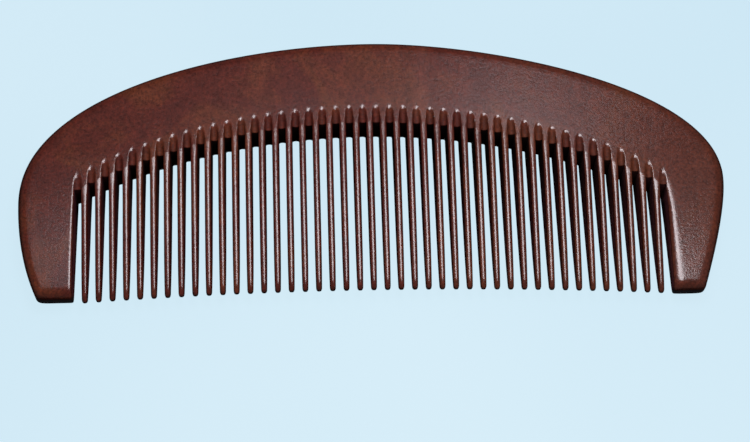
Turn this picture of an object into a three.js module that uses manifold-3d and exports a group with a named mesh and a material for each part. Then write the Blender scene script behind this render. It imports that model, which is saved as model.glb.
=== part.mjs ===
// A one-piece wooden hair comb, sawn, ground and polished from a single board.
// Millimetres, +Z up. The comb lies on its back face: X runs along its length,
// Y from the tooth tips towards the crown, Z through its thickness.
//
// The board is modelled as regions that meet face to face: the spine that every
// tooth grows from, the broad guard tooth at each end, and the teeth between them.

import * as THREE from 'three';
import { LoftGeometry } from 'three/addons/geometries/LoftGeometry.js';
import { mergeVertices } from 'three/addons/utils/BufferGeometryUtils.js';
import Module from 'manifold-3d';

const wasm = await Module();
wasm.setup();

// Driving dimensions. The drawing frame has its origin under the middle tooth, level
// with the lowest guard tip, and halfway through the thickness of the board.
const TOOTH_COUNT = 43;
const PITCH = 3.5;
const TOOTH_WIDTH = 1.73;
const THICKNESS = 11.8;
const HEIGHT = 69.5;
const GUARD_ROOT_Y = 26.2;

// Both faces are flat over the spine. Below this height the board thins towards the
// tips, slowly at first, down to the thickness of the guard tips.
const TAPER_START_Y = 39.5;
const TAPER_POWER = 1.5;
const GUARD_TIP_THICKNESS = 6;

// The comb is shaped by hand, so its two ends differ a little. reach is the half
// length at widestY, shoulder and crown pull the quarter outline round, and the outer
// edge of the guard bends at kneeY towards its tip, which is trimmed level.
const LEFT_END = {
  side: -1, reach: 90.7, widestY: 26.8, shoulder: 29.1, crown: 39.9, kneeY: 12.3, tipReach: 85.5, tipY: 1.1,
};
const RIGHT_END = {
  side: 1, reach: 91.5, widestY: 29.6, shoulder: 26.3, crown: 31, kneeY: 20.7, tipReach: 84.5, tipY: 0,
};

// The sawn ends of the slots follow one elliptical arch. A round-rimmed wheel, a
// little wider than the saw cut, then scoops each slot head into both faces.
const SLOT_ARCH = { centreX: -1.5, top: 46.5, halfLength: 111, rise: 67.6 };
const WHEEL_RADIUS = 10;
const WHEEL_WIDTH = 2.1;
const SCOOP_DEPTH = 0.9;

// The line of the tooth tips bows up towards the middle and is a little out of level.
const TIP_LINE = { middleY: 2.45, bow: 2.15, drop: 0.3 };

// Shape of one tooth. Beyond the board's own taper it leans in evenly on both faces
// from root to tip, and it narrows over the last stretch to a rounded point.
const TOOTH_LEAN = 2;
const TOOTH_TIP_WIDTH = 1.5;
const TOOTH_NARROWING_LENGTH = 12;
const TOOTH_TIP_ROUND = { x: 0.9, z: 2.6 };
const TOOTH_EDGE = { x: 0.45, z: 0.7 };

// Rounding of the board's outer rim and of the guard teeth.
const RIM = { x: 2.6, z: 3.6 };
const GUARD_INNER_EDGE = { x: 0.8, z: 0.9 };
const GUARD_INNER_LEAN = 0.4;
const GUARD_CORNER = { inner: 0.8, outer: 1.3 };
const GUARD_END_ROUND = { y: 2.6, z: 1.9 };

const RIM_STEPS = 3;
const CROWN_STEPS = 20;

const halfThickness = THICKNESS / 2;
const lastTooth = (TOOTH_COUNT - 1) / 2;
const outermostToothX = PITCH * lastTooth;
const slotWidth = PITCH - TOOTH_WIDTH;
const guardInnerX = outermostToothX + PITCH - TOOTH_WIDTH / 2;

// ---- Where things are along the comb ---------------------------------------

// Height of the sawn end of a slot at x.
function slotEndY(x) {
  const across = (x - SLOT_ARCH.centreX) / SLOT_ARCH.halfLength;
  return SLOT_ARCH.top - SLOT_ARCH.rise * (1 - Math.sqrt(1 - across * across));
}

// A tooth starts at the lower of its two slot ends, so that its root is all wood.
function rootY(x) {
  if (Math.abs(x) > outermostToothX) {
    return GUARD_ROOT_Y;
  }
  return Math.min(slotEndY(x - PITCH / 2), slotEndY(x + PITCH / 2));
}

function toothTipY(x) {
  const across = x / outermostToothX;
  return TIP_LINE.middleY - TIP_LINE.bow * across * across - TIP_LINE.drop * across;
}

// Half the thickness of the board at height y.
function boardHalfZ(y) {
  const thinned = Math.max(0, 1 - y / TAPER_START_Y) ** TAPER_POWER;
  return halfThickness - thinned * (halfThickness - GUARD_TIP_THICKNESS / 2);
}

// Half the length of the comb at height y on a guard's outer edge. The edge is the
// parabola that leaves the widest point upright and turns at kneeY towards the tip.
function guardReach(end, y) {
  const toKnee = end.widestY - end.kneeY;
  const bend = end.kneeY - end.tipY - toKnee;
  const along = (Math.sqrt(toKnee * toKnee + bend * (end.widestY - y)) - toKnee) / bend;
  return end.reach - (end.reach - end.tipReach) * along * along;
}

function toothPositions() {
  return Array.from({ length: TOOTH_COUNT }, (_, index) => PITCH * (index - lastTooth));
}

function slotPositions() {
  return Array.from({ length: TOOTH_COUNT + 1 }, (_, index) => PITCH * (index - lastTooth - 0.5));
}

// ---- Solids ----------------------------------------------------------------

function toSolid(geometry) {
  const bare = geometry.clone();
  bare.deleteAttribute('normal');
  bare.deleteAttribute('uv');
  const merged = mergeVertices(bare, 1e-5);
  return new wasm.Manifold(new wasm.Mesh({
    numProp: 3,
    vertProperties: Float32Array.from(merged.attributes.position.array),
    triVerts: Uint32Array.from(merged.index.array),
  }));
}

function toGeometry(solid) {
  const mesh = solid.getMesh();
  const geometry = new THREE.BufferGeometry();
  geometry.setAttribute('position', new THREE.BufferAttribute(mesh.vertProperties, 3));
  geometry.setIndex(new THREE.BufferAttribute(mesh.triVerts, 1));
  geometry.computeVertexNormals();
  return geometry;
}

function woodMesh(name, geometry, color) {
  const material = new THREE.MeshStandardMaterial({ color, roughness: 0.38, metalness: 0 });
  const mesh = new THREE.Mesh(geometry, material);
  mesh.name = name;
  return mesh;
}

// ---- Cross sections --------------------------------------------------------

// A closed section across X and Z at height y: a rectangle between two x values with
// elliptical corners, whose radii may differ from the low-x side to the high-x side.
function roundedSection(y, lowX, highX, halfZ, lowEdge, highEdge, steps) {
  const corners = [
    { x: highX - highEdge.x, z: highEdge.z - halfZ, edge: highEdge, start: -Math.PI / 2 },
    { x: highX - highEdge.x, z: halfZ - highEdge.z, edge: highEdge, start: 0 },
    { x: lowX + lowEdge.x, z: halfZ - lowEdge.z, edge: lowEdge, start: Math.PI / 2 },
    { x: lowX + lowEdge.x, z: lowEdge.z - halfZ, edge: lowEdge, start: Math.PI },
  ];
  const points = [];
  for (const corner of corners) {
    for (let step = 0; step <= steps; step += 1) {
      const angle = corner.start + (step / steps) * (Math.PI / 2);
      const x = corner.x + corner.edge.x * Math.cos(angle);
      const z = corner.z + corner.edge.z * Math.sin(angle);
      points.push(new THREE.Vector3(x, y, z));
    }
  }
  return points;
}

// How far a round of the given length draws in at a distance from the end face.
function cornerInset(distance, length, inset = length) {
  const along = Math.min(1, distance / length);
  return inset * (1 - Math.sqrt(1 - (1 - along) ** 2));
}

// An edge rounding that never takes more than a share of the room it has.
function limitedEdge(edge, halfX, halfZ) {
  return { x: Math.min(edge.x, 0.8 * halfX), z: Math.min(edge.z, 0.8 * halfZ) };
}

// ---- Spine -----------------------------------------------------------------

// The outline of the crown and both ends, closed below where the spine is cut away.
function blankOutline() {
  const left = LEFT_END;
  const right = RIGHT_END;
  const belowCut = GUARD_ROOT_Y - 2 * RIM.x;
  const outline = new THREE.Shape();
  outline.moveTo(guardReach(right, belowCut), belowCut);
  outline.lineTo(guardReach(right, GUARD_ROOT_Y), GUARD_ROOT_Y);
  outline.lineTo(right.reach, right.widestY);
  outline.bezierCurveTo(
    right.reach, right.widestY + right.shoulder,
    right.crown, HEIGHT,
    0, HEIGHT,
  );
  outline.bezierCurveTo(
    -left.crown, HEIGHT,
    -left.reach, left.widestY + left.shoulder,
    -left.reach, left.widestY,
  );
  outline.lineTo(-guardReach(left, GUARD_ROOT_Y), GUARD_ROOT_Y);
  outline.lineTo(-guardReach(left, belowCut), belowCut);
  outline.closePath();
  return outline;
}

// A board of even thickness with its rim rounded over on both faces.
function blankSolid() {
  const geometry = new THREE.ExtrudeGeometry(blankOutline(), {
    depth: THICKNESS - 2 * RIM.z,
    curveSegments: CROWN_STEPS,
    bevelEnabled: true,
    bevelThickness: RIM.z,
    bevelSize: RIM.x,
    bevelOffset: -RIM.x,
    bevelSegments: RIM_STEPS,
  });
  geometry.translate(0, 0, RIM.z - halfThickness);
  return toSolid(geometry);
}

// The room between the two tapering faces, as a profile across Y and Z drawn out
// along X.
function taperSolid() {
  const bottomY = GUARD_ROOT_Y - 3 * RIM.x;
  const steps = 5;
  const heights = Array.from({ length: steps + 1 }, (_, step) => (
    bottomY + (step / steps) * (TAPER_START_Y - bottomY)
  ));
  const profile = new THREE.Shape();
  profile.moveTo(HEIGHT + RIM.x, boardHalfZ(HEIGHT));
  heights.reverse().forEach((y) => profile.lineTo(y, boardHalfZ(y)));
  heights.reverse().forEach((y) => profile.lineTo(y, -boardHalfZ(y)));
  profile.lineTo(HEIGHT + RIM.x, -boardHalfZ(HEIGHT));
  profile.closePath();
  const length = 2 * (RIGHT_END.reach + RIM.x);
  const geometry = new THREE.ExtrudeGeometry(profile, { depth: length, bevelEnabled: false });
  geometry.translate(0, 0, -length / 2);
  geometry.applyMatrix4(new THREE.Matrix4().makeBasis(
    new THREE.Vector3(0, 1, 0),
    new THREE.Vector3(0, 0, 1),
    new THREE.Vector3(1, 0, 0),
  ));
  return toSolid(geometry);
}

// Everything below the roots: one step up or down at each tooth and slot.
function belowRootsSolid() {
  const outside = RIGHT_END.reach + RIM.x;
  const outline = new THREE.Shape();
  outline.moveTo(-outside, -THICKNESS);
  outline.lineTo(outside, -THICKNESS);
  outline.lineTo(outside, GUARD_ROOT_Y);
  for (const slotX of slotPositions().reverse()) {
    outline.lineTo(slotX + slotWidth / 2, rootY(slotX + PITCH / 2));
    outline.lineTo(slotX + slotWidth / 2, slotEndY(slotX));
    outline.lineTo(slotX - slotWidth / 2, slotEndY(slotX));
    outline.lineTo(slotX - slotWidth / 2, rootY(slotX - PITCH / 2));
  }
  outline.lineTo(-outside, GUARD_ROOT_Y);
  outline.closePath();
  const geometry = new THREE.ExtrudeGeometry(outline, { depth: 2 * THICKNESS, bevelEnabled: false });
  geometry.translate(0, 0, -THICKNESS);
  return toSolid(geometry);
}

// The round-rimmed wheel whose edge scoops the head of a slot. Its axle stays at one
// height over the board, so it cuts less deeply where the board is thinner.
function scoopWheelGeometry() {
  const rimRadius = WHEEL_WIDTH / 2;
  const rimSteps = 3;
  const profile = [new THREE.Vector2(0, -rimRadius)];
  for (let step = 0; step <= rimSteps; step += 1) {
    const angle = (step / rimSteps - 0.5) * Math.PI;
    profile.push(new THREE.Vector2(
      WHEEL_RADIUS - rimRadius + rimRadius * Math.cos(angle),
      rimRadius * Math.sin(angle),
    ));
  }
  profile.push(new THREE.Vector2(0, rimRadius));
  const geometry = new THREE.LatheGeometry(profile, 40);
  geometry.rotateZ(Math.PI / 2);
  geometry.translate(0, 0, halfThickness - SCOOP_DEPTH + WHEEL_RADIUS);
  return geometry;
}

function scoopsSolid() {
  const front = toSolid(scoopWheelGeometry());
  const back = toSolid(scoopWheelGeometry().rotateY(Math.PI));
  const wheels = slotPositions().flatMap((x) => [
    front.translate(x, slotEndY(x), 0),
    back.translate(x, slotEndY(x), 0),
  ]);
  return wasm.Manifold.union(wheels);
}

function spine() {
  const board = blankSolid().intersect(taperSolid());
  const solid = board.subtract(belowRootsSolid()).subtract(scoopsSolid());
  return woodMesh('spine', toGeometry(solid), 0x6b4034);
}

// ---- Guard teeth -----------------------------------------------------------

// At the root the section is the rim of the even board cut off by the tapering faces,
// as on the spine, and towards the tip the rim rounds over from the faces themselves.
function guardSection(end, y) {
  const fromTip = y - end.tipY;
  const fromRoot = (GUARD_ROOT_Y - y) / (GUARD_ROOT_Y - end.tipY);
  const innerReach = guardInnerX + GUARD_INNER_LEAN * fromRoot + cornerInset(fromTip, GUARD_CORNER.inner);
  const outerReach = guardReach(end, y) - cornerInset(fromTip, GUARD_CORNER.outer);
  const faceZ = boardHalfZ(y) - cornerInset(fromTip, GUARD_END_ROUND.y, GUARD_END_ROUND.z);
  const rimZ = faceZ + (halfThickness - faceZ) * (1 - fromRoot) ** 2;
  const halfX = (outerReach - innerReach) / 2;
  const inner = limitedEdge(GUARD_INNER_EDGE, halfX, faceZ);
  const outer = limitedEdge(RIM, halfX, rimZ);
  const points = end.side < 0
    ? roundedSection(y, -outerReach, -innerReach, rimZ, outer, inner, RIM_STEPS)
    : roundedSection(y, innerReach, outerReach, rimZ, inner, outer, RIM_STEPS);
  points.forEach((point) => point.setZ(THREE.MathUtils.clamp(point.z, -faceZ, faceZ)));
  return points;
}

function guardTooth(name, end) {
  const straightSteps = 6;
  const roundSteps = 5;
  const roundStartY = end.tipY + GUARD_END_ROUND.y;
  const sections = [];
  for (let step = 0; step < straightSteps; step += 1) {
    const y = THREE.MathUtils.lerp(GUARD_ROOT_Y, roundStartY, step / straightSteps);
    sections.push(guardSection(end, y));
  }
  for (let step = 0; step <= roundSteps; step += 1) {
    const fromTip = GUARD_END_ROUND.y * (1 - Math.sin((step / roundSteps) * (Math.PI / 2)));
    sections.push(guardSection(end, end.tipY + fromTip));
  }
  return woodMesh(name, new LoftGeometry(sections, { capStart: true, capEnd: true }), 0x70453c);
}

// ---- Teeth -----------------------------------------------------------------

// How far a tip has filled out at a distance from its end: 0 at the end, 1 past the round.
function tipRound(distance, length) {
  return Math.sqrt(1 - (1 - Math.min(1, distance / length)) ** 2);
}

function toothSection(x, y) {
  const topY = rootY(x);
  const tipY = toothTipY(x);
  const narrowed = Math.max(0, 1 - (y - tipY) / TOOTH_NARROWING_LENGTH) ** 2;
  const bluntX = 0.3 + 0.7 * tipRound(y - tipY, TOOTH_TIP_ROUND.x);
  const bluntZ = 0.3 + 0.7 * tipRound(y - tipY, TOOTH_TIP_ROUND.z);
  const halfX = bluntX * 0.5 * THREE.MathUtils.lerp(TOOTH_WIDTH, TOOTH_TIP_WIDTH, narrowed);
  const halfZ = bluntZ * (boardHalfZ(y) - TOOTH_LEAN * (topY - y) / (topY - tipY));
  const edge = limitedEdge(TOOTH_EDGE, halfX, halfZ);
  return roundedSection(y, x - halfX, x + halfX, halfZ, edge, edge, 1);
}

function tooth(name, x) {
  const topY = rootY(x);
  const tipY = toothTipY(x);
  const sections = [];
  for (const share of [1, 0.75, 0.5, 0.25]) {
    sections.push(toothSection(x, THREE.MathUtils.lerp(tipY, topY, share)));
  }
  for (const share of [1, 0.55, 0.3, 0.1, 0]) {
    sections.push(toothSection(x, tipY + share * TOOTH_TIP_ROUND.z));
  }
  return woodMesh(name, new LoftGeometry(sections, { capStart: true, capEnd: true }), 0x5c3430);
}

// ---- Comb ------------------------------------------------------------------

const comb = new THREE.Group();
comb.add(spine());
comb.add(guardTooth('left_guard_tooth', LEFT_END));
comb.add(guardTooth('right_guard_tooth', RIGHT_END));
toothPositions().forEach((x, index) => {
  comb.add(tooth(`tooth_${String(index + 1).padStart(2, '0')}`, x));
});

// The origin is under the middle of the comb's outer box, level with its back face.
comb.position.set((LEFT_END.reach - RIGHT_END.reach) / 2, -HEIGHT / 2, halfThickness);

export default comb;
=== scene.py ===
"""A one-piece wooden hair comb on a pale floor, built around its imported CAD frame.

The comb is one board. Its surface is described as the half thickness of the board over
every point of its outline, in millimetres, in a drawing frame with its origin under the
middle tooth, level with the lowest guard tip and halfway through the thickness. Each
region of the board (spine, guard teeth, teeth) becomes a closed mesh of its own, and the
regions meet without a step.
"""

import math

import bpy
import numpy as np
from mathutils import Matrix, Vector


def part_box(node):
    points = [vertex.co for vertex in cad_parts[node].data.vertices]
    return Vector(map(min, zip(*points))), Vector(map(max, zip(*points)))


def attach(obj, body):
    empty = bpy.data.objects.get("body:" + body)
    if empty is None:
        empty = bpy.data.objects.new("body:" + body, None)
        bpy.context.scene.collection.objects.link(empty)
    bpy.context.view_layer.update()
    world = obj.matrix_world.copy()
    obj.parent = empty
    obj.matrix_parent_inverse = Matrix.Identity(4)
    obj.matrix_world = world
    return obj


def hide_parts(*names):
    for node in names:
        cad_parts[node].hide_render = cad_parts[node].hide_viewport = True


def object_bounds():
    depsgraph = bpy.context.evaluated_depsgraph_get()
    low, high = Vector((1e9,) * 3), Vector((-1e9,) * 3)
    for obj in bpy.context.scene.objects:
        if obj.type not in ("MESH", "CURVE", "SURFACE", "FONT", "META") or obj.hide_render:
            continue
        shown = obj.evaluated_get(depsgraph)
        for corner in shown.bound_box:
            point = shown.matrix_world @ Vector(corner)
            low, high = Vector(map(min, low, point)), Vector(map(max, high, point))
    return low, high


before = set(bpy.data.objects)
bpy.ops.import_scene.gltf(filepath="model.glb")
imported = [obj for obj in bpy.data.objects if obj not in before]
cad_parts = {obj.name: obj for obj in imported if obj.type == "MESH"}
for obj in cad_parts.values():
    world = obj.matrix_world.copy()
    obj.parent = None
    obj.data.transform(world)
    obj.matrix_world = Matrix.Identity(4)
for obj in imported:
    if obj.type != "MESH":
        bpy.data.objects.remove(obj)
cad_low, cad_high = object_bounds()

MM = 0.001

# ---- The comb's driving dimensions, as in its CAD source ----------------------------

TOOTH_COUNT = 43
PITCH = 3.5
TOOTH_WIDTH = 1.73
THICKNESS = 11.8
HEIGHT = 69.5
GUARD_ROOT_Y = 26.2
TAPER_START_Y = 39.5
TAPER_POWER = 1.5
GUARD_TIP_THICKNESS = 6.0

# The two ends of the outline, from the guard tooth's tip out through its knee to the
# widest point, and from there round the shoulder to the crown.
LEFT_END = {
    "side": -1, "reach": 90.7, "widest_y": 26.8, "shoulder": 29.1, "crown": 39.9,
    "knee_y": 12.3, "tip_reach": 85.5, "tip_y": 1.1,
}
RIGHT_END = {
    "side": 1, "reach": 91.5, "widest_y": 29.6, "shoulder": 26.3, "crown": 31.0,
    "knee_y": 20.7, "tip_reach": 84.5, "tip_y": 0.0,
}

ARCH_CENTRE_X = -1.5
ARCH_TOP = 46.5
ARCH_HALF_LENGTH = 111.0
ARCH_RISE = 67.6

WHEEL_RADIUS = 10.0
WHEEL_RIM_RADIUS = 1.05
WHEEL_RIM_REACH = 0.98 * WHEEL_RIM_RADIUS
SCOOP_DEPTH = 0.9
SCOOP_LEAST_DEPTH = 0.15
SCOOP_MIDDLE = 1.5
SCOOP_SLOPE_BESIDE_RIM = 3.0

TIP_MIDDLE_Y = 2.45
TIP_BOW = 2.15
TIP_DROP = 0.3
TOOTH_LEAN = 2.0
TOOTH_TIP_WIDTH = 1.5
TOOTH_NARROWING_LENGTH = 12.0
TOOTH_TIP_ROUND_X = 0.9
TOOTH_TIP_ROUND_Z = 2.6
TIP_BLUNTNESS = 0.3

# ---- Polishing: how far each edge is rounded over -----------------------------------

# RIM_X, RIM_Z and the like are how far in and how far down a rounding reaches. A power
# above 2 starts it more gently than an ellipse does.
RIM_X = 2.6
RIM_Z = 3.6
RIM_POWER = 2.4
SCOOP_EDGE = 0.36
SLOT_END_EDGE = 0.22
TOOTH_EDGE_SHARE = 0.97
TOOTH_EDGE_DROP = 0.95
TOOTH_EDGE_POWER = 2.5
TOOTH_EDGE_GROWTH = 13.0
EDGE_START = 3.0
LEFT_GUARD_EDGE = (0.9, 0.8)
RIGHT_GUARD_EDGE = (2.7, 1.0)
GUARD_EDGE_GROWTH = 12.0
GUARD_EDGE_TOP_WIDTH = 0.55
GUARD_INNER_LEAN = 0.4
GUARD_CORNER_INNER = 0.8
GUARD_CORNER_OUTER = 1.1
GUARD_END_ROUND_Y = 3.0
GUARD_END_THINNING = 0.75

HALF = THICKNESS / 2
LAST_TOOTH = (TOOTH_COUNT - 1) // 2
OUTERMOST_TOOTH_X = PITCH * LAST_TOOTH
SLOT_HALF = (PITCH - TOOTH_WIDTH) / 2
TOOTH_HALF = TOOTH_WIDTH / 2
LAST_SLOT_X = OUTERMOST_TOOTH_X + PITCH / 2
GUARD_INNER_X = LAST_SLOT_X + SLOT_HALF
STRIP_WIDTH = 0.9
STRIP_X = GUARD_INNER_X + STRIP_WIDTH

# The drawing frame's origin in the row frame, found from the CAD nodes.
middle_low, middle_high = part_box(f"tooth_{LAST_TOOTH + 1:02d}")
ORIGIN = Vector((
    (middle_low[0] + middle_high[0]) / 2,
    cad_high[1] - HEIGHT * MM,
    (cad_low[2] + cad_high[2]) / 2,
))

# The three finishes of the wood, in the order of each piece's materials. A face counts as
# ground where it lies this deep below the board, within the sweep of a scooping wheel.
POLISHED, SAWN, GROUND = 0, 1, 2
POLISHED_DEPTH = 0.16
SCOOP_START = 0.1
SHARP_EDGE = math.radians(42)


# ---- The surface of the board -------------------------------------------------------

def smooth_step(t):
    t = np.clip(t, 0, 1)
    return t * t * (3 - 2 * t)


def smooth_min(a, b, width):
    share = np.clip(0.5 + 0.5 * (b - a) / width, 0, 1)
    return b * (1 - share) + a * share - width * share * (1 - share)


def rounded_drop(distance, width, drop, power=2.0):
    """How far a rounded edge falls away at a distance in from the edge."""
    t = np.clip(1 - distance / width, 0, 1)
    return drop * (1 - (1 - t ** power) ** (1 / power))


def slot_end_y(x):
    across = (np.asarray(x, float) - ARCH_CENTRE_X) / ARCH_HALF_LENGTH
    return ARCH_TOP - ARCH_RISE * (1 - np.sqrt(1 - across * across))


def tooth_tip_y(x):
    across = x / OUTERMOST_TOOTH_X
    return TIP_MIDDLE_Y - TIP_BOW * across * across - TIP_DROP * across


def board_half(y):
    thinned = np.clip(1 - np.asarray(y, float) / TAPER_START_Y, 0, None) ** TAPER_POWER
    return HALF - thinned * (HALF - GUARD_TIP_THICKNESS / 2)


def nearest_slot(x):
    slot = np.round((np.asarray(x, float) - PITCH / 2) / PITCH)
    return np.clip(slot, -LAST_TOOTH - 1, LAST_TOOTH) * PITCH + PITCH / 2


def scoop_length(x):
    """How far the scoop at x runs from its slot end up to the face."""
    thinning = HALF - board_half(slot_end_y(x) + SCOOP_MIDDLE)
    depth = np.maximum(SCOOP_DEPTH - thinning, SCOOP_LEAST_DEPTH)
    return np.sqrt(2 * WHEEL_RADIUS * depth - depth * depth)


def scoop_half(x, y):
    """Half thickness left by the scooping wheel of the nearest slot."""
    slot_x = nearest_slot(x)
    side = np.abs(x - slot_x)
    inside = np.minimum(side, WHEEL_RIM_REACH)
    rim = np.sqrt(WHEEL_RIM_RADIUS ** 2 - inside ** 2)
    radius = WHEEL_RADIUS - WHEEL_RIM_RADIUS + rim
    along = y - slot_end_y(slot_x)
    axle = HALF - SCOOP_DEPTH + WHEEL_RADIUS
    reach = np.sqrt(np.clip(radius ** 2 - along ** 2, 0.01, None))
    beyond = np.clip(side - inside, 0, None)
    return axle - reach + SCOOP_SLOPE_BESIDE_RIM * beyond


def guard_edge_drop(x, y):
    """The rounding of a guard tooth's inner edge, which grows down from the slot end."""
    left = x < 0
    width = np.where(left, LEFT_GUARD_EDGE[0], RIGHT_GUARD_EDGE[0])
    drop = np.where(left, LEFT_GUARD_EDGE[1], RIGHT_GUARD_EDGE[1])
    top = np.where(left, slot_end_y(-LAST_SLOT_X), slot_end_y(LAST_SLOT_X))
    grown = smooth_step((top + EDGE_START - y) / GUARD_EDGE_GROWTH)
    tip = np.where(left, LEFT_END["tip_y"], RIGHT_END["tip_y"])
    down = np.clip((GUARD_ROOT_Y - y) / (GUARD_ROOT_Y - tip), 0, 1)
    distance = np.clip(np.abs(x) - GUARD_INNER_X - GUARD_INNER_LEAN * down, 0, None)
    widened = GUARD_EDGE_TOP_WIDTH + (1 - GUARD_EDGE_TOP_WIDTH) * down
    return grown * rounded_drop(distance, width * widened, drop)


def tooth_edge_drop(offset, below_root):
    """The rounding of a tooth's edges, which starts above its root and grows down."""
    grown = smooth_step((below_root + EDGE_START) / TOOTH_EDGE_GROWTH)
    distance = 1 - np.abs(offset)
    drop = rounded_drop(distance, TOOTH_EDGE_SHARE, TOOTH_EDGE_DROP, TOOTH_EDGE_POWER)
    return grown * drop


def land_edge_drop(x, y):
    """The same rounding on the spine, between the heads of the slots."""
    tooth_x = np.round(x / PITCH) * PITCH
    offset = np.clip((x - tooth_x) / TOOTH_HALF, -1, 1)
    left_end = slot_end_y(tooth_x - PITCH / 2)
    right_end = slot_end_y(tooth_x + PITCH / 2)
    root = left_end + (offset + 1) / 2 * (right_end - left_end)
    return tooth_edge_drop(offset, root - y)


def face_half(x, y):
    """Half thickness of the spine and guard teeth, inside their outer rim."""
    x = np.asarray(x, float)
    y = np.asarray(y, float)
    in_guard = np.abs(x) > GUARD_INNER_X
    edge_drop = np.where(in_guard, guard_edge_drop(x, y), land_edge_drop(x, y))
    return smooth_min(board_half(y) - edge_drop, scoop_half(x, y), SCOOP_EDGE)


# ---- The outline --------------------------------------------------------------------

OUTLINE_LOW_STEPS = 8
OUTLINE_STEPS = 400


def guard_reach(end, y):
    """The x of a guard tooth's outer edge, which bends inward from the widest point."""
    to_knee = end["widest_y"] - end["knee_y"]
    bend = end["knee_y"] - end["tip_y"] - to_knee
    root = np.sqrt(np.clip(to_knee ** 2 + bend * (end["widest_y"] - y), 0, None))
    along = (root - to_knee) / bend
    return end["reach"] - (end["reach"] - end["tip_reach"]) * along * along


def quarter_outline(end):
    """From the root of a guard tooth up and over to the middle of the crown."""
    t = np.linspace(0, 1, OUTLINE_STEPS)[:, None]
    corners = np.array([
        (end["reach"], end["widest_y"]),
        (end["reach"], end["widest_y"] + end["shoulder"]),
        (end["crown"], HEIGHT),
        (0, HEIGHT),
    ])
    curve = (
        (1 - t) ** 3 * corners[0] + 3 * (1 - t) ** 2 * t * corners[1]
        + 3 * (1 - t) * t * t * corners[2] + t ** 3 * corners[3]
    )
    low_y = np.linspace(GUARD_ROOT_Y, end["widest_y"], OUTLINE_LOW_STEPS, endpoint=False)
    low = np.stack([guard_reach(end, low_y), low_y], 1)
    return np.concatenate([low, curve]) * (end["side"], 1)


def path_shares(points):
    """How far along a path each of its points is, from 0 to 1."""
    steps = np.hypot(*np.diff(points, axis=0).T)
    return np.concatenate([[0], np.cumsum(steps)]) / steps.sum()


def along_path(points, shares):
    """Points at shares of the length of a path."""
    run = path_shares(points)
    return np.stack([np.interp(shares, run, points[:, i]) for i in range(2)], 1)


# ---- Meshes -------------------------------------------------------------------------

class Plate:
    """Quads over the board's outline, with the half thickness at each corner."""

    def __init__(self):
        self.index = {}
        self.points = []
        self.quads = []

    def corner(self, x, y, half):
        """The number of the corner at x, y, shared by all the quads that meet there."""
        key = (round(x, 3), round(y, 3))
        if key not in self.index:
            self.index[key] = len(self.points)
            self.points.append((x, y, half))
        return self.index[key]

    def grid(self, xs, ys, halves):
        rows, columns = xs.shape
        ids = [
            [self.corner(xs[r, c], ys[r, c], halves[r, c]) for c in range(columns)]
            for r in range(rows)
        ]
        for r in range(rows - 1):
            for c in range(columns - 1):
                quad = (ids[r][c], ids[r][c + 1], ids[r + 1][c + 1], ids[r + 1][c])
                self.quads.append(self.counterclockwise(quad))

    def counterclockwise(self, quad):
        area = 0.0
        for a, b in zip(quad, quad[1:] + quad[:1]):
            (ax, ay, _), (bx, by, _) = self.points[a], self.points[b]
            area += ax * by - bx * ay
        return quad if area > 0 else quad[::-1]

    def face_finish(self, quad):
        """The floor of a scoop is left as the wheel ground it."""
        x, y, half = np.mean([self.points[i] for i in quad], axis=0)
        below_edge = half < board_half(y) - POLISHED_DEPTH
        in_scoop = scoop_half(x, y) < board_half(y) - SCOOP_START
        return GROUND if below_edge and in_scoop else POLISHED

    def solid(self, is_sawn):
        """Front, back and the walls between them, as vertices, faces and finishes."""
        count = len(self.points)
        vertices = self.points + [(x, y, -half) for x, y, half in self.points]
        faces = list(self.quads)
        faces += [tuple(count + i for i in reversed(quad)) for quad in self.quads]
        finishes = [self.face_finish(quad) for quad in self.quads] * 2
        edges = set()
        for quad in self.quads:
            edges.update(zip(quad, quad[1:] + quad[:1]))
        for a, b in sorted(edges):
            if (b, a) in edges:
                continue
            faces.append((b, a, count + a, count + b))
            finishes.append(SAWN if is_sawn(self.points[a], self.points[b]) else POLISHED)
        return vertices, faces, finishes


def make_piece(name, node, vertices, faces, finishes):
    mesh = bpy.data.meshes.new(name)
    mesh.from_pydata([(ORIGIN + Vector(v) * MM) for v in vertices], [], faces)
    mesh.validate()
    mesh.polygons.foreach_set("material_index", finishes)
    mesh.polygons.foreach_set("use_smooth", [True] * len(faces))
    mesh.set_sharp_from_angle(angle=SHARP_EDGE)
    for material in (wood_polished, wood_sawn, wood_ground):
        mesh.materials.append(material)
    mesh.update()
    piece = bpy.data.objects.new(name, mesh)
    bpy.context.scene.collection.objects.link(piece)
    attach(piece, "root")
    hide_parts(node)
    return piece


# ---- Spine --------------------------------------------------------------------------

# Where the mesh has its lines: across a slot, up a scoop as shares of its length, and
# from the band of slot heads out to the rim. They crowd where the surface turns.
SLOT_END_FADE_POWER = 6
SLOT_OFFSETS = (-1, -0.84, -0.64, -0.43, -0.22, 0, 0.22, 0.43, 0.64, 0.84, 1)
SCOOP_ROWS = (
    0, 0.012, 0.03, 0.06, 0.12, 0.2, 0.3, 0.4, 0.5, 0.58, 0.65, 0.71, 0.76, 0.81, 0.85,
    0.885, 0.915, 0.945, 0.97, 0.995, 1.02, 1.05, 1.09, 1.15,
)
BAND_HEIGHT = 6.2
BAND_TOP_ROWS = (0.33, 0.66, 1.0)
STRIP_STEPS = (0, 0.45, 0.7)
LOW_ROWS = 6
TOUCH = 0.01
FACE_SHARES = (0, 0.06, 0.14, 0.26, 0.4, 0.55, 0.7, 0.82, 0.92, 1.0)
RIM_STEPS = 8
TOOTH_STEPS = 10


def tooth_offsets():
    """Across a tooth, from -1 to 1, closer together towards its edges."""
    return np.sin(np.linspace(-math.pi / 2, math.pi / 2, TOOTH_STEPS + 1))


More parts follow.
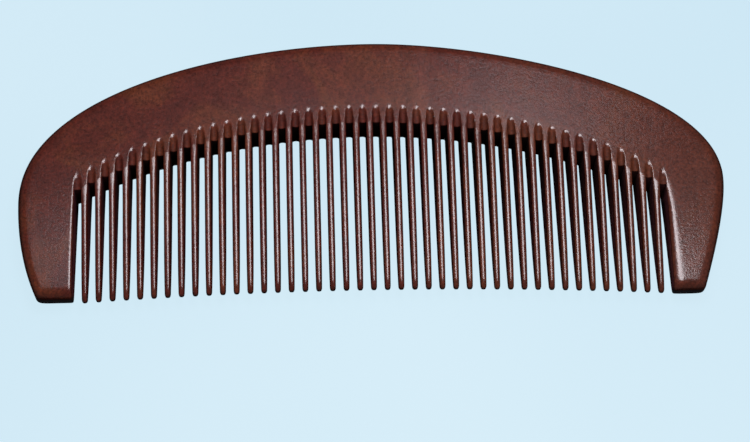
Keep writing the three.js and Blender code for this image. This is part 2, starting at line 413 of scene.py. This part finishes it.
def band_columns():
    """The x of every column over the slot heads, where it ends, and its share of a slot."""
    xs, ends, slots = [], [], []

    def add(x, end, slot_share):
        xs.append(x)
        ends.append(end)
        slots.append(slot_share)

    for step in STRIP_STEPS:
        add(step - STRIP_X, slot_end_y(-LAST_SLOT_X), 0)
    for i in range(-LAST_TOOTH - 1, LAST_TOOTH + 1):
        slot_x = PITCH * (i + 0.5)
        end = slot_end_y(slot_x)
        for offset in SLOT_OFFSETS:
            add(slot_x + SLOT_HALF * offset, end, 1 - abs(offset) ** SLOT_END_FADE_POWER)
        if i == LAST_TOOTH:
            continue
        next_end = slot_end_y(slot_x + PITCH)
        for offset in tooth_offsets()[1:-1]:
            share = (offset + 1) / 2
            add(slot_x + PITCH / 2 + TOOTH_HALF * offset, end + share * (next_end - end), 0)
    for step in reversed(STRIP_STEPS):
        add(STRIP_X - step, slot_end_y(LAST_SLOT_X), 0)
    return np.array(xs), np.array(ends), np.array(slots)


def spine_plate():
    plate = Plate()
    column_x, column_end, in_slot = band_columns()
    top = column_end + BAND_HEIGHT
    rows = [column_end + scoop_length(column_x) * share for share in SCOOP_ROWS]
    rows += [rows[-1] + (top - rows[-1]) * share for share in BAND_TOP_ROWS]
    band_y = np.array(rows)
    band_x = np.broadcast_to(column_x, band_y.shape)
    slot_end_drop = rounded_drop(band_y - column_end, SLOT_END_EDGE, SLOT_END_EDGE)
    plate.grid(band_x, band_y, face_half(band_x, band_y) - in_slot * slot_end_drop)

    # The board beside the last slot on each side, down to where the guard tooth starts.
    strips = len(STRIP_STEPS) + 1
    low_y = {}
    for side, strip_x in ((-1, column_x[:strips]), (1, column_x[-strips:])):
        low_y[side] = np.linspace(GUARD_ROOT_Y, slot_end_y(side * LAST_SLOT_X), LOW_ROWS)
        xs, ys = np.meshgrid(strip_x, low_y[side])
        plate.grid(xs, ys, face_half(xs, ys))

    # From the band of slot heads out to the rim, and over it.
    left_y = np.concatenate([low_y[-1][:-1], band_y[:-1, 0]])
    right_y = np.concatenate([low_y[1][:-1], band_y[:-1, -1]])[::-1]
    inner = np.concatenate([
        np.stack([np.full_like(left_y, -STRIP_X), left_y], 1),
        np.stack([column_x, top], 1),
        np.stack([np.full_like(right_y, STRIP_X), right_y], 1),
    ])
    outline = np.concatenate([
        quarter_outline(LEFT_END), quarter_outline(RIGHT_END)[::-1][1:],
    ])
    outer = along_path(outline, path_shares(inner))
    outward = outward_from(outer)
    rim_start = outer - outward * RIM_X
    points, halves = [], []
    for share in FACE_SHARES:
        point = inner + (rim_start - inner) * share
        points.append(point)
        halves.append(face_half(point[:, 0], point[:, 1]))
    for share in rim_shares():
        point = rim_start + outward * RIM_X * share
        half = face_half(rim_start[:, 0], point[:, 1])
        points.append(point)
        halves.append(half - rim_drop(half, share))
    points = np.array(points)
    plate.grid(points[:, :, 0], points[:, :, 1], np.array(halves))
    return plate


def outward_from(outline):
    """Unit vectors square to the outline, level where it meets the guard teeth."""
    tangent = np.gradient(outline, axis=0)
    outward = np.stack([-tangent[:, 1], tangent[:, 0]], 1)
    outward /= np.hypot(*outward.T)[:, None]
    outward[0] = (-1, 0)
    outward[-1] = (1, 0)
    return outward


def rim_shares():
    """Steps out across the rim, from 0 to 1, closer together towards its edge."""
    return np.sin(np.linspace(0, math.pi / 2, RIM_STEPS + 1))[1:]


def rim_drop(half, share):
    """The rim rounds over less where the board is thinner."""
    return rounded_drop(1 - share, 1, RIM_Z * half / HALF, RIM_POWER)


def make_spine():
    def is_sawn(a, b):
        between_guards = max(abs(a[0]), abs(b[0])) <= GUARD_INNER_X + TOUCH
        return between_guards and max(a[1], b[1]) <= ARCH_TOP + TOUCH

    return make_piece("spine_wood", "spine", *spine_plate().solid(is_sawn))


# ---- Guard teeth --------------------------------------------------------------------

GUARD_SHARES = (
    0, 0.008, 0.02, 0.04, 0.07, 0.11, 0.16, 0.22, 0.3, 0.4, 0.52, 0.64, 0.76, 0.88, 1.0,
)
GUARD_WALL_REACH = 1.0
GUARD_ROWS = 28
GUARD_END_ROWS = 12


def corner_inset(distance, radius):
    return rounded_drop(distance, radius, radius)


def guard_plate(end):
    side = end["side"]
    tip = end["tip_y"]
    straight = np.linspace(GUARD_ROOT_Y, tip + GUARD_END_ROUND_Y, GUARD_ROWS)
    turn = np.linspace(0, math.pi / 2, GUARD_END_ROWS)[1:]
    ys = np.concatenate([straight, tip + GUARD_END_ROUND_Y * (1 - np.sin(turn))])
    from_tip = ys - tip
    lean = GUARD_INNER_LEAN * (GUARD_ROOT_Y - ys) / (GUARD_ROOT_Y - tip)
    inner = GUARD_INNER_X + lean + corner_inset(from_tip, GUARD_CORNER_INNER)
    outer = guard_reach(end, ys) - corner_inset(from_tip, GUARD_CORNER_OUTER)
    lines_x, lines_half = [], []
    for share in GUARD_SHARES:
        x = side * (inner + (outer - RIM_X - inner) * share)
        lines_x.append(x)
        lines_half.append(face_half(x, ys))
    half = face_half(side * (outer - RIM_X), ys)
    for share in rim_shares():
        lines_x.append(side * (outer - RIM_X * (1 - share)))
        lines_half.append(half - rim_drop(half, share))
    xs = np.array(lines_x)
    thinning = rounded_drop(from_tip, GUARD_END_ROUND_Y, GUARD_END_THINNING, RIM_POWER)
    halves = np.array(lines_half) * (1 - thinning)
    plate = Plate()
    plate.grid(xs, np.broadcast_to(ys, xs.shape), halves)
    return plate


def make_guard(node, end):
    def is_sawn(a, b):
        on_inner_side = max(abs(a[0]), abs(b[0])) < GUARD_INNER_X + GUARD_WALL_REACH
        return on_inner_side and min(a[1], b[1]) > end["tip_y"] + GUARD_WALL_REACH

    return make_piece(node + "_wood", node, *guard_plate(end).solid(is_sawn))


# ---- Teeth --------------------------------------------------------------------------

# Where the mesh has its rings: down from the root over the scoop, evenly to the tip's
# narrowing, and round the tip.
ROOT_LEVELS = (0, 0.25, 0.55, 0.9, 1.3, 1.7, 2.1, 2.5, 2.9, 3.3, 3.7, 4.2, 5, 6, 7.2, 8.6)
BODY_START = 10.5
BODY_RINGS = 5
NARROWING_RINGS = 7
TIP_SHARES = (0.82, 0.66, 0.52, 0.4, 0.3, 0.21, 0.13, 0.07, 0.03, 0)


def tooth_rings(tooth_x):
    """Sections of one tooth from its root to its tip, each a ring of points."""
    left_end = slot_end_y(tooth_x - PITCH / 2)
    right_end = slot_end_y(tooth_x + PITCH / 2)
    tip = tooth_tip_y(tooth_x)
    offsets = tooth_offsets()
    root = left_end + (offsets + 1) / 2 * (right_end - left_end)
    length = max(left_end, right_end) - tip
    body_end = length - TOOTH_NARROWING_LENGTH
    round_start = length - TOOTH_TIP_ROUND_Z
    levels = [
        *ROOT_LEVELS,
        *np.linspace(BODY_START, body_end, BODY_RINGS),
        *np.linspace(body_end, round_start, NARROWING_RINGS)[1:],
    ]
    ring_ys = [root + (tip - root) * level / length for level in levels]
    ring_ys += [np.full_like(root, tip + TOOTH_TIP_ROUND_Z * share) for share in TIP_SHARES]
    return [tooth_ring(tooth_x, offsets, y, root, tip) for y in ring_ys]


def tip_share(distance, length):
    """How much of its size a tooth keeps at a distance from its blunt round tip."""
    return 1 - rounded_drop(distance, length, 1 - TIP_BLUNTNESS)


def tooth_ring(tooth_x, offsets, y, root, tip):
    narrowed = np.clip(1 - (y - tip) / TOOTH_NARROWING_LENGTH, 0, 1) ** 2
    half_width = TOOTH_HALF + (TOOTH_TIP_WIDTH - TOOTH_WIDTH) / 2 * narrowed
    x = tooth_x + half_width * offsets * tip_share(y - tip, TOOTH_TIP_ROUND_X)
    leaned = np.clip((root - y) / (root - tip), 0, 1)
    flat = board_half(y) - TOOTH_LEAN * leaned
    rounded = flat - tooth_edge_drop(offsets, root - y)
    half = smooth_min(rounded, scoop_half(tooth_x + TOOTH_HALF * offsets, y), SCOOP_EDGE)
    half = half * tip_share(y - tip, TOOTH_TIP_ROUND_Z)
    front = list(zip(x, y, half))
    back = list(zip(x, y, -half))
    return front + back[::-1]


def make_tooth(number, tooth_x):
    rings = tooth_rings(tooth_x)
    size = len(rings[0])
    vertices = [point for ring in rings for point in ring]
    faces, finishes = [], []
    wall = size // 2 - 1
    for r in range(len(rings) - 1):
        for i in range(size):
            j = (i + 1) % size
            a, b = r * size + i, r * size + j
            faces.append((a, a + size, b + size, b))
            finishes.append(SAWN if i in (wall, size - 1) else POLISHED)
    for base, outward in ((0, True), ((len(rings) - 1) * size, False)):
        for i in range(wall):
            quad = (base + i, base + i + 1, base + size - 2 - i, base + size - 1 - i)
            faces.append(quad if outward else quad[::-1])
            finishes.append(POLISHED)
    node = f"tooth_{number:02d}"
    return make_piece(node + "_wood", node, vertices, faces, finishes)


# ---- Materials ----------------------------------------------------------------------

PER_MM = 1 / MM
DARK_WOOD = (0.068, 0.0088, 0.0048)
MIDDLE_WOOD = (0.080, 0.0115, 0.0056)
LIGHT_WOOD = (0.100, 0.0210, 0.0068)
BROWN_WOOD = (0.084, 0.0235, 0.0100)
PALE_STREAK = (0.22, 0.080, 0.060)
PORE = (0.030, 0.009, 0.006)
BROWN_END_X = 0.09
# Painted light and shade on the slot walls: darker near the roots, lighter and bluer towards the
# tips, standing in for light thrown up from the pale floor.
WALL_PAINTED_SHADE_AT_ROOT = (0.60, 0.75, 1.20)
WALL_PAINTED_LIGHT_AT_TIP = (4.5, 6.2, 17.0)
WALL_ROOT_Y = 0.004
WALL_TIP_Y = -0.018


class Tree:
    """Short helpers for building a material's nodes."""

    def __init__(self, name):
        self.material = bpy.data.materials.new(name)
        self.material.use_nodes = True
        self.nodes = self.material.node_tree.nodes
        self.links = self.material.node_tree.links
        self.shader = self.nodes["Principled BSDF"]

    def add(self, kind, inputs=None, **settings):
        node = self.nodes.new(kind)
        for key, value in settings.items():
            setattr(node, key, value)
        for key, value in (inputs or {}).items():
            if isinstance(value, bpy.types.NodeSocket):
                self.links.new(value, node.inputs[key])
            else:
                node.inputs[key].default_value = value
        return node

    def mapped(self, source, scale, turn=0.0):
        node = self.add("ShaderNodeMapping", {"Vector": source})
        node.inputs["Scale"].default_value = scale
        node.inputs["Rotation"].default_value = (0, 0, math.radians(turn))
        return node.outputs["Vector"]

    def noise(self, vector, scale, detail=3.0, roughness=0.55, distortion=0.0):
        node = self.add("ShaderNodeTexNoise", {
            "Vector": vector, "Scale": scale, "Detail": detail,
            "Roughness": roughness, "Distortion": distortion,
        })
        return node.outputs["Fac"]

    def ramp(self, value, stops):
        node = self.add("ShaderNodeValToRGB", {"Fac": value})
        elements = node.color_ramp.elements
        while len(elements) > 1:
            elements.remove(elements[-1])
        for i, (position, colour) in enumerate(stops):
            element = elements[0] if i == 0 else elements.new(position)
            element.position = position
            element.color = (*colour, 1)
        return node.outputs["Color"]

    def tone(self, value, *stops):
        """A grey that follows the value through stops of (value, brightness)."""
        return self.ramp(value, [(position, (grey, grey, grey)) for position, grey in stops])

    def axis(self, vector, name):
        return self.add("ShaderNodeSeparateXYZ", {0: vector}).outputs[name]

    def mix(self, factor, first, second, mode="MIX"):
        inputs = {0: factor, 6: first, 7: second}
        for index in (6, 7):
            if isinstance(inputs[index], tuple):
                inputs[index] = (*inputs[index], 1)
        node = self.add("ShaderNodeMix", inputs, data_type="RGBA", blend_type=mode)
        return node.outputs[2]

    def multiply(self, first, second):
        return self.mix(1.0, first, second, "MULTIPLY")

    def math(self, operation, first, second=0.0):
        return self.add("ShaderNodeMath", {0: first, 1: second}, operation=operation).outputs[0]

    def span(self, value, low, high, new_low, new_high):
        node = self.add("ShaderNodeMapRange", {
            "Value": value, "From Min": low, "From Max": high,
            "To Min": new_low, "To Max": new_high,
        })
        return node.outputs["Result"]


def wood_colour(tree, place):
    """Red-brown figure, the same through the whole board, with painted shade that darkens it
    over its edges, rims and tooth shoulders.
    """
    mm = tree.mapped(place, (PER_MM, PER_MM, PER_MM))
    grain = tree.mapped(place, (PER_MM, 0.09 * PER_MM, 0.42 * PER_MM), turn=7)
    streaks = tree.mapped(place, (PER_MM, 0.13 * PER_MM, 0.20 * PER_MM), turn=-22)
    cloud = tree.noise(mm, 0.05, detail=5, roughness=0.62, distortion=0.9)
    fine_cloud = tree.noise(mm, 0.26, detail=5, roughness=0.65, distortion=0.5)
    lines = tree.noise(grain, 0.5, detail=5, roughness=0.62, distortion=0.25)
    pores = tree.noise(grain, 2.6, detail=3, roughness=0.7)
    speckle = tree.noise(mm, 1.4, detail=3, roughness=0.75)
    pale = tree.noise(streaks, 0.11, detail=3, roughness=0.5)

    base = tree.ramp(cloud, [(0.34, DARK_WOOD), (0.50, MIDDLE_WOOD), (0.64, LIGHT_WOOD)])
    browner = tree.span(tree.axis(place, "X"), 0.0, BROWN_END_X, 0.0, 0.5)
    base = tree.mix(browner, base, BROWN_WOOD)
    base = tree.multiply(base, tree.tone(fine_cloud, (0.30, 0.84), (0.5, 1.0), (0.70, 1.18)))
    base = tree.multiply(base, tree.tone(lines, (0.32, 0.90), (0.5, 1.0), (0.68, 1.10)))
    base = tree.mix(tree.span(pale, 0.60, 0.74, 0.0, 0.10), base, PALE_STREAK)
    base = tree.mix(tree.span(pores, 0.64, 0.74, 0.0, 0.4), base, PORE)
    base = tree.multiply(base, tree.tone(speckle, (0.32, 0.55), (0.5, 1.0), (0.68, 1.55)))
    # Painted shade: the colour is darkened wherever the surface turns away from the face, over
    # edges, rims, tooth shoulders, tips, scoop sides and slot walls.
    normal = tree.add("ShaderNodeTexCoord").outputs["Normal"]
    painted_shade_facing = tree.math("ABSOLUTE", tree.axis(normal, "Z"))
    base = tree.multiply(base, tree.tone(painted_shade_facing, (0.25, 0.25), (0.62, 0.60), (0.93, 1.0)))
    return base, fine_cloud, lines, pores, speckle


def polished_wood():
    """The faces and rim: a thin gloss over wood with fine grit and pores."""
    tree = Tree("wood_polished")
    place = tree.add("ShaderNodeTexCoord").outputs["Object"]
    base, fine_cloud, lines, pores, speckle = wood_colour(tree, place)
    worn = tree.span(fine_cloud, 0.3, 0.7, -0.02, 0.03)
    roughness = tree.math("ADD", tree.span(speckle, 0.35, 0.65, 0.26, 0.36), worn)
    height = tree.mix(0.2, tree.mix(0.85, pores, speckle), lines)
    finish(tree, base, roughness, height, bump_depth=0.09 * MM)
    tree.shader.inputs["Specular IOR Level"].default_value = 0.10
    tree.shader.inputs["Coat Weight"].default_value = 0.75
    tree.shader.inputs["Coat Roughness"].default_value = 0.15
    return tree.material


def sawn_wood():
    """The walls of the slots: matt and marked by the saw, with painted shade near the roots and
    painted light that makes them lighter and bluer towards the tips.
    """
    tree = Tree("wood_sawn")
    place = tree.add("ShaderNodeTexCoord").outputs["Object"]
    base, *_, speckle = wood_colour(tree, place)
    marks = tree.noise(tree.mapped(place, (0.3 * PER_MM, PER_MM, 0.3 * PER_MM)), 2.4, detail=2)
    # Painted light and shade: the walls are darkened near the roots and lightened and blued
    # towards the tips.
    down = tree.span(tree.axis(place, "Y"), WALL_ROOT_Y, WALL_TIP_Y, 0.0, 1.0)
    base = tree.multiply(base, tree.mix(down, WALL_PAINTED_SHADE_AT_ROOT, WALL_PAINTED_LIGHT_AT_TIP))
    roughness = tree.span(marks, 0.3, 0.7, 0.62, 0.8)
    finish(tree, base, roughness, tree.mix(0.5, marks, speckle), bump_depth=0.04 * MM)
    tree.shader.inputs["Specular IOR Level"].default_value = 0.15
    return tree.material


def ground_wood():
    """The floors of the scoops, with the fine marks that the wheel leaves along them."""
    tree = Tree("wood_ground")
    place = tree.add("ShaderNodeTexCoord").outputs["Object"]
    base, *_, speckle = wood_colour(tree, place)
    marks = tree.noise(tree.mapped(place, (PER_MM, 0.12 * PER_MM, 0.12 * PER_MM)), 4.0, detail=2)
    base = tree.multiply(base, tree.tone(marks, (0.3, 0.78), (0.7, 1.10)))
    roughness = tree.span(marks, 0.3, 0.7, 0.6, 0.74)
    finish(tree, base, roughness, tree.mix(0.5, marks, speckle), bump_depth=0.03 * MM)
    tree.shader.inputs["Specular IOR Level"].default_value = 0.2
    return tree.material


def finish(tree, base, roughness, height, bump_depth):
    bump = tree.add("ShaderNodeBump", {
        "Strength": 0.6, "Distance": bump_depth, "Height": height,
    })
    tree.links.new(base, tree.shader.inputs["Base Color"])
    tree.links.new(roughness, tree.shader.inputs["Roughness"])
    for facing in ("Normal", "Coat Normal"):
        tree.links.new(bump.outputs["Normal"], tree.shader.inputs[facing])


# ---- Floor, lights and camera -------------------------------------------------------

FLOOR_HALF_SIZE = 3.0
FLOOR_Z = -0.05 * MM
FLOOR_BLUE = (0.60, 0.79, 0.90)
FLOOR_PALE_BLUE = (0.68, 0.85, 0.94)
FLOOR_GLOW = 0.97
FLOOR_LIT_SHARE = (0.04, 0.04, 0.04)

SENSOR_WIDTH = 36.0
CAMERA_LENS = 100.8
# In degrees; the aim in the drawing frame, and the offset along the camera's own axes.
CAMERA_PITCH = -19.728
CAMERA_YAW = 1.891
CAMERA_ROLL = 1.829
CAMERA_AIM = (0.0, 18.48, 0.0)
CAMERA_OFFSET = (0.717, 2.489, 541.2)

KEY_WHITE = (1.0, 0.95, 1.0)
GLOW_WHITE = (1.0, 0.92, 1.0)
STUDIO_WHITE = (1.0, 0.93, 0.93)
LIGHT_Z = 0.38


def make_floor():
    """A pale floor that glows to the camera only, so that the slots show it bright."""
    mesh = bpy.data.meshes.new("floor")
    corners = [(-1, -1), (1, -1), (1, 1), (-1, 1)]
    vertices = [(x * FLOOR_HALF_SIZE, y * FLOOR_HALF_SIZE, FLOOR_Z) for x, y in corners]
    mesh.from_pydata(vertices, [], [(0, 1, 2, 3)])
    tree = Tree("floor_pale")
    place = tree.add("ShaderNodeTexCoord").outputs["Object"]
    drift = tree.noise(place, 3.5, detail=2)
    tone = tree.ramp(drift, [(0.3, FLOOR_BLUE), (0.7, FLOOR_PALE_BLUE)])
    shader = tree.shader
    tree.links.new(tree.multiply(tone, FLOOR_LIT_SHARE), shader.inputs["Base Color"])
    shader.inputs["Roughness"].default_value = 0.9
    shader.inputs["Specular IOR Level"].default_value = 0.0
    tree.links.new(tone, shader.inputs["Emission Color"])
    seen = tree.add("ShaderNodeLightPath").outputs["Is Camera Ray"]
    tree.links.new(tree.span(seen, 0, 1, 0.0, FLOOR_GLOW), shader.inputs["Emission Strength"])
    mesh.materials.append(tree.material)
    floor = bpy.data.objects.new("floor", mesh)
    bpy.context.scene.collection.objects.link(floor)


def make_light(name, place, target, size, power, colour):
    """A soft rectangular light, level with the others, aimed at a point on the comb."""
    place = Vector((*place, LIGHT_Z))
    light = bpy.data.lights.new(name, "AREA")
    light.shape = "RECTANGLE"
    light.size, light.size_y = size
    light.energy = power
    light.color = colour
    lamp = bpy.data.objects.new(name, light)
    lamp.location = place
    lamp.rotation_mode = "QUATERNION"
    aim = Vector((*target, 0)) - place
    lamp.rotation_quaternion = aim.to_track_quat("-Z", "Y")
    bpy.context.scene.collection.objects.link(lamp)


def make_world(colour, strength):
    world = bpy.data.worlds.new("studio")
    world.use_nodes = True
    background = world.node_tree.nodes["Background"]
    background.inputs["Color"].default_value = (*colour, 1)
    background.inputs["Strength"].default_value = strength
    bpy.context.scene.world = world


def make_camera():
    """Looks down on the front face from the tooth side."""
    turn = (
        Matrix.Rotation(math.radians(CAMERA_ROLL), 4, "Z")
        @ Matrix.Rotation(math.radians(CAMERA_PITCH), 4, "X")
        @ Matrix.Rotation(math.radians(CAMERA_YAW), 4, "Y")
    ).transposed()
    aim = ORIGIN + Vector(CAMERA_AIM) * MM
    back = turn @ Vector(CAMERA_OFFSET) * MM
    data = bpy.data.cameras.new("camera")
    data.sensor_width = SENSOR_WIDTH
    data.lens = CAMERA_LENS
    camera = bpy.data.objects.new("camera", data)
    camera.matrix_world = Matrix.Translation(aim + back) @ turn
    bpy.context.scene.collection.objects.link(camera)
    bpy.context.scene.camera = camera


# ---- The scene ----------------------------------------------------------------------

bpy.context.scene.view_settings.view_transform = "Standard"

make_camera()
wood_polished = polished_wood()
wood_sawn = sawn_wood()
wood_ground = ground_wood()
make_spine()
make_guard("left_guard_tooth", LEFT_END)
make_guard("right_guard_tooth", RIGHT_END)
for tooth_number in range(1, TOOTH_COUNT + 1):
    make_tooth(tooth_number, PITCH * (tooth_number - 1 - LAST_TOOTH))
make_floor()
make_light(
    "key", place=(0.028, 0.020), target=(0.01, 0.0), size=(0.200, 0.110), power=1.16,
    colour=KEY_WHITE,
)
make_light(
    "glow", place=(0.080, 0.155), target=(0.02, 0.02), size=(0.06, 0.04), power=0.045,
    colour=GLOW_WHITE,
)
make_light(
    "left_glow", place=(-0.13, 0.02), target=(-0.07, 0.0), size=(0.06, 0.06), power=0.021,
    colour=GLOW_WHITE,
)
make_world(STUDIO_WHITE, 0.19)
